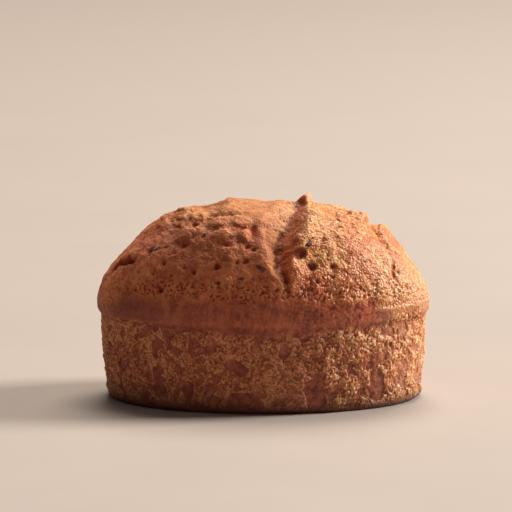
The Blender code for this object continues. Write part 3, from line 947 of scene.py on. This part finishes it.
# The foot is darker, its own browning with painted shade over it, most at the left, away from the key lamp,
# and the very edge of the base is painted dark all round with the shade where it meets the floor.
foot = stretched(tree, up, 0.0, 7 * MM, 1.0, 0.0)
foot = arithmetic(tree, "MULTIPLY", foot, stretched(tree, side, -34 * MM, 5 * MM, 0.8, 0.52))
colour = blend_colours(tree, foot, colour, FOOT_BROWN_AND_SHADE)
colour = blend_colours(tree, stretched(tree, up, 0.6 * MM, 2.6 * MM, 0.9, 0.0), colour, FOOT_BROWN_AND_SHADE)
tree.links.new(colour, surface.inputs["Base Color"])

# Butter gives the crust a gloss. It is duller in the crumb and inside the hollows, and at the left, where
# only specks of it shine.
gloss = stretched(tree, fine, 0.3, 0.7, 0.13, 0.34)
gloss = arithmetic(tree, "MULTIPLY_ADD", field["furry"], 0.12, gloss)
sunk = arithmetic(tree, "MAXIMUM", field["hollow"], field["pit"])
gloss = arithmetic(tree, "MULTIPLY_ADD", arithmetic(tree, "MAXIMUM", field["pale"], sunk), 0.3, gloss)
dull = stretched(tree, side, -2 * MM, 8 * MM, 0.4, 0.0)
gloss = arithmetic(tree, "MULTIPLY_ADD", dull, stretched(tree, fine, 0.6, 0.68, 1.0, 0.1), gloss)
tree.links.new(gloss, surface.inputs["Roughness"])

# The finest grain: strong on the crust and the crumb, weak on the smooth skin and in hollows.
grainy = arithmetic(tree, "MAXIMUM", field["crusty"], field["furry"])
rough = arithmetic(tree, "MULTIPLY_ADD", grainy, 0.7, 0.3)
rough = arithmetic(tree, "MULTIPLY_ADD", sunk, -0.4, rough)
rough = arithmetic(tree, "MULTIPLY", rough, stretched(tree, side, -2 * MM, 8 * MM, 0.85, 1.0))
relief = arithmetic(tree, "MULTIPLY_ADD", grit, -0.7, arithmetic(tree, "MULTIPLY", fine, 0.8))
relief = arithmetic(tree, "MULTIPLY", relief, rough)
bump = add_node(tree, "ShaderNodeBump", {"Strength": 1.0, "Distance": 0.24 * MM, "Height": relief})
tree.links.new(bump.outputs[0], surface.inputs["Normal"])

surface.inputs["Specular Tint"].default_value = (1.0, 0.84, 0.70, 1)
surface.inputs["Specular IOR Level"].default_value = 0.45
surface.inputs["Subsurface Weight"].default_value = 0.5
surface.inputs["Subsurface Radius"].default_value = (1.0, 0.35, 0.12)
surface.inputs["Subsurface Scale"].default_value = 1.1 * MM
cake.data.materials.clear()
cake.data.materials.append(crust)

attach(cake, "root")
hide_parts("financier")


# ---------------------------------------------------------------- the flecks
# Scraps of the dark skin of the ground nuts, baked into the crust. They are thin and lie sunk in it, so that
# its granules stand up between them.

# Where a fleck lies on the dome, its half length and half width, and how far it is turned.
Fleck = namedtuple("Fleck", "x y long wide turn")
FLECKS = [
    Fleck(-0.3, -21.5, 1.10, 1.00, 0.3),
    Fleck(-4.6, -22.2, 0.95, 0.40, 0.3),
    Fleck(-5.1, -15.0, 0.40, 0.25, 1.0),
    Fleck(-13.6, -14.3, 0.50, 0.35, 0.6),
    Fleck(-25.2, -11.9, 1.20, 0.85, 0.2),
    Fleck(-22.3, -13.1, 0.60, 0.45, 0.9),
    Fleck(10.3, -17.1, 1.00, 0.80, 0.4),
    Fleck(11.4, -16.2, 0.35, 0.30, 0.9),
    Fleck(23.3, -15.6, 0.80, 0.50, 0.7),
    Fleck(23.9, -14.9, 0.35, 0.25, 0.2),
    Fleck(22.6, -16.6, 0.30, 0.25, 0.2),
    Fleck(32.1, -13.1, 0.45, 0.35, 0.5),
    Fleck(33.5, -11.9, 0.40, 0.30, 0.8),
    Fleck(-9.2, -1.0, 0.45, 0.35, 0.1),
]
MORE_FLECKS = 14  # on the back
FLECK_THICK = 0.1  # half the thickness
FLECK_SUNK = 0.05
FLECK_RAGGED = 0.9
FLECK_LOBES = 1.7
FLECK_DARK = (0.075, 0.018, 0.014, 1)
FLECK_LIGHT = (0.18, 0.070, 0.052, 1)
ABOVE = 80  # where the rays that find the crust start

draw = random.Random(SEED + 2)
for _ in range(MORE_FLECKS):
    turn, out = draw.uniform(0.1, math.pi - 0.1), draw.uniform(0.35, 0.9)
    place = (out * math.cos(turn) * LENGTH / 2, out * math.sin(turn) * DEPTH / 2)
    FLECKS.append(Fleck(*place, draw.uniform(0.3, 0.8), draw.uniform(0.25, 0.5), draw.uniform(0, 3)))

cake_surface = BVHTree.FromObject(cake, bpy.context.evaluated_depsgraph_get())
fleck_shape = bmesh.new()
for fleck in FLECKS:
    # A fleck lies on the middle height of five spots of the crust under it.
    spots = []
    for across, along in ((0, 0), (0.5, 0), (-0.5, 0), (0, 0.5), (0, -0.5)):
        start = Vector((fleck.x + across * fleck.long, fleck.y + along * fleck.wide, ABOVE)) * MM
        spots.append(cake_surface.ray_cast(start, Vector((0, 0, -1)))[0])
    spot = sum(spots, Vector()) / len(spots)
    away = Vector((fleck.x / LENGTH**2, fleck.y / DEPTH**2, (spot.z / MM - LIP) / (2 * (CROWN - LIP)) ** 2))
    tilt = away.to_track_quat("Z", "Y").to_matrix() @ Matrix.Rotation(fleck.turn, 3, "Z")
    scrap = bmesh.ops.create_icosphere(fleck_shape, subdivisions=3, radius=1.0)["verts"]
    for vertex in scrap:
        spread = 1 + FLECK_RAGGED * noise.noise(vertex.co * FLECK_LOBES + Vector((fleck.x, fleck.y, 0)))
        size = Vector((fleck.long * spread, fleck.wide * spread, FLECK_THICK)) * MM
        vertex.co = spot + tilt @ (vertex.co * size - Vector((0, 0, FLECK_SUNK * MM)))
bmesh.ops.recalc_face_normals(fleck_shape, faces=fleck_shape.faces)
flecks = piece_from(fleck_shape, "nut_skin_flecks")
flecks.data.shade_smooth()

nut_skin = bpy.data.materials.new("nut_skin")
nut_skin.use_nodes = True
tree = nut_skin.node_tree
surface = tree.nodes["Principled BSDF"]
place = add_node(tree, "ShaderNodeTexCoord").outputs["Object"]
colour = blend_colours(tree, speckle(tree, place, 0.5, 3.0), FLECK_DARK, FLECK_LIGHT)
tree.links.new(colour, surface.inputs["Base Color"])
tree.links.new(stretched(tree, speckle(tree, place, 0.3), 0.3, 0.7, 0.3, 0.6), surface.inputs["Roughness"])
bump = add_node(tree, "ShaderNodeBump", {"Distance": 0.2 * MM, "Height": speckle(tree, place, 0.4, 3.0)})
tree.links.new(bump.outputs[0], surface.inputs["Normal"])
surface.inputs["Specular IOR Level"].default_value = 0.2
flecks.data.materials.append(nut_skin)

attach(flecks, "root")


# ---------------------------------------------------------------- the floor, the light and the camera
# A pale painted table top that runs out of view, lit by a soft lamp at the right, a little behind the cake,
# and by a wide one high up behind it. The camera looks a little down on the cake's front.

TABLE_HALF = 4.0  # metres
TABLE_DARK = (0.385, 0.317, 0.266, 1)
TABLE_LIGHT = (0.408, 0.337, 0.283, 1)
TABLE_FAR = (0.366, 0.303, 0.256, 1)

table_shape = bmesh.new()
bmesh.ops.create_grid(table_shape, x_segments=2, y_segments=2, size=TABLE_HALF)
table = piece_from(table_shape, "table_top")
paint = bpy.data.materials.new("pale_table")
paint.use_nodes = True
tree = paint.node_tree
surface = tree.nodes["Principled BSDF"]
place = add_node(tree, "ShaderNodeTexCoord").outputs["Object"]
stain = stretched(tree, speckle(tree, place, 60.0, 4.0, 0.6), 0.3, 0.7)
colour = blend_colours(tree, stain, TABLE_DARK, TABLE_LIGHT)
# The table is painted a little darker towards the back: painted shade that evens out its brightness from
# front to back.
colour = blend_colours(tree, stretched(tree, position(tree, place, "Y"), -0.1, 0.9), colour, TABLE_FAR)
tree.links.new(colour, surface.inputs["Base Color"])
surface.inputs["Roughness"].default_value = 0.7
table.data.materials.append(paint)


LAMP_TARGET = Vector((0, 0, 0.02))


def softbox(name, direction, elevation, distance, size, power, colour):
    """A square area lamp, by its direction round the cake from +X, its elevation and its distance."""
    lamp = bpy.data.lights.new(name, "AREA")
    lamp.size, lamp.energy, lamp.color = size, power, colour
    holder = bpy.data.objects.new(name, lamp)
    bpy.context.scene.collection.objects.link(holder)
    direction, elevation = math.radians(direction), math.radians(elevation)
    flat = distance * math.cos(elevation)
    holder.location = (flat * math.cos(direction), flat * math.sin(direction), distance * math.sin(elevation))
    holder.rotation_euler = (LAMP_TARGET - holder.location).to_track_quat("-Z", "Y").to_euler()


softbox("key_softbox", 11, 30, distance=1.6, size=0.42, power=41.5, colour=(1.0, 0.99, 0.98))
softbox("overhead_softbox", 74, 63, distance=2.6, size=1.5, power=73.0, colour=(1.0, 0.93, 0.86))
air = bpy.data.worlds.new("studio")
air.use_nodes = True
air.node_tree.nodes["Background"].inputs["Color"].default_value = (1.0, 0.95, 0.92, 1)
air.node_tree.nodes["Background"].inputs["Strength"].default_value = 0.13
bpy.context.scene.world = air

VIEW_PIXELS = 512
CAKE_COLUMN = 263.5  # the pixel column that the cake's middle falls on
PIXEL = 0.2342 * MM  # what one pixel covers at the cake
ELEVATION = math.radians(9.5)
DISTANCE = 0.9
MIDDLE_HEIGHT = 33.19 * MM  # of the point of the cake that the picture's middle falls on
MIDDLE = Vector(((VIEW_PIXELS / 2 - CAKE_COLUMN) * PIXEL, 0, MIDDLE_HEIGHT))
lens = bpy.data.cameras.new("camera")
lens.sensor_width = 36
lens.lens = lens.sensor_width * DISTANCE / (PIXEL * VIEW_PIXELS)
lens.clip_start, lens.clip_end = 0.05, 20
camera = bpy.data.objects.new("camera", lens)
bpy.context.scene.collection.objects.link(camera)
camera.location = MIDDLE + Vector((0, -math.cos(ELEVATION), math.sin(ELEVATION))) * DISTANCE
camera.rotation_euler = (math.pi / 2 - ELEVATION, 0, 0)
bpy.context.scene.camera = camera
bpy.context.scene.view_settings.view_transform = "Standard"
